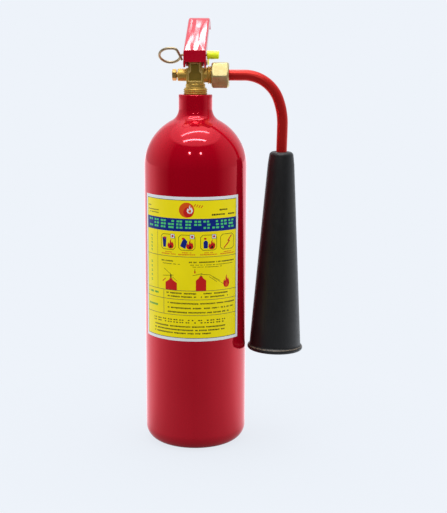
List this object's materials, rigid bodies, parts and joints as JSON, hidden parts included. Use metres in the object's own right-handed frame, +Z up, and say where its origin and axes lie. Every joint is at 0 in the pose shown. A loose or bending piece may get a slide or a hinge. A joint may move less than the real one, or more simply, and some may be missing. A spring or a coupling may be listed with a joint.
{
  "type": "fire extinguisher",
  "caption": "Portable carbon dioxide fire extinguisher: steel cylinder, brass squeeze valve, swivelling pipe and discharge horn, pull pin and seal.",
  "frame": {"origin": "centre of the base, on the surface the cylinder stands on", "axes": "+Z up along the cylinder, +X towards the side the discharge pipe leaves on, +Y the way the lever and carry handle reach out; the label faces -Y"},
  "size_m": [0.179, 0.16, 0.4782],
  "materials": {
    "red_paint": "deep glossy red enamel",
    "lever_paint": "glossy red powder coat",
    "pipe_paint": "satin orange-red coating",
    "label_film": "printed vinyl film, white border",
    "valve_brass": "forged and turned brass",
    "nut_brass": "pale bright-dipped brass",
    "pin_steel": "yellow-passivated steel wire",
    "stem_steel": "stainless steel",
    "nickel_foil": "nickel foil",
    "aluminium_tube": "drawn tube",
    "seal_rubber": "black nitrile",
    "seal_plastic": "white fluoroplastic",
    "seal_cap_plastic": "soft yellow-green plastic",
    "horn_plastic": "matt black moulded plastic"
  },
  "bodies": {
    "extinguisher": {"cylinder": "red_paint", "label": "label_film", "valve_body": "valve_brass", "gland_nut": "valve_brass", "stem_o_ring": "seal_rubber", "dip_tube_bush": "valve_brass", "dip_tube": "aluminium_tube", "burst_disc": "nickel_foil", "burst_disc_washer": "valve_brass", "burst_disc_plug": "valve_brass", "union_nut": "nut_brass", "outlet_seal": "seal_plastic", "lever_pivot": "pin_steel", "carry_handle": "lever_paint", "handle_rivet": "pin_steel", "valve_spring": "stem_steel"},
    "lever": {"operating_lever": "lever_paint"},
    "stem": {"stem": "stem_steel", "poppet": "valve_brass", "poppet_seal": "seal_rubber"},
    "pin": {"safety_pin": "pin_steel"},
    "seal": {"tamper_seal": "seal_cap_plastic"},
    "horn": {"pipe_collar": "nut_brass", "discharge_pipe": "pipe_paint", "horn": "horn_plastic", "horn_insert": "valve_brass", "nozzle": "valve_brass"}
  },
  "joints": [
    {"name": "lever_squeeze", "type": "hinge", "parent": "extinguisher", "child": "lever", "pos_m": [0, -0.0074, 0.42852], "axis": [-1, 0, 0], "range_deg": [0, 20], "stiffness_Nm_per_rad": 2, "springref_deg": -20.05},
    {"name": "stem_press", "type": "slide", "parent": "extinguisher", "child": "stem", "axis": [0, 0, -1], "range_m": [0, 0.0043], "deforming": ["valve_spring"]},
    {"name": "safety_pin_pull", "type": "slide", "parent": "extinguisher", "child": "pin", "axis": [-1, 0, 0], "range_m": [0, 0.036]},
    {"name": "tamper_seal_pull", "type": "slide", "parent": "extinguisher", "child": "seal", "axis": [1, 0, 0], "range_m": [0, 0.015]},
    {"name": "horn_swing", "type": "hinge", "parent": "extinguisher", "child": "horn", "pos_m": [0.03, 0, 0.41502], "axis": [-1, 0, 0], "range_deg": [0, 90]}
  ],
  "couplings": [
    {"joint": "stem_press", "follows": "lever_squeeze", "m_per_rad": 0.012}
  ]
}
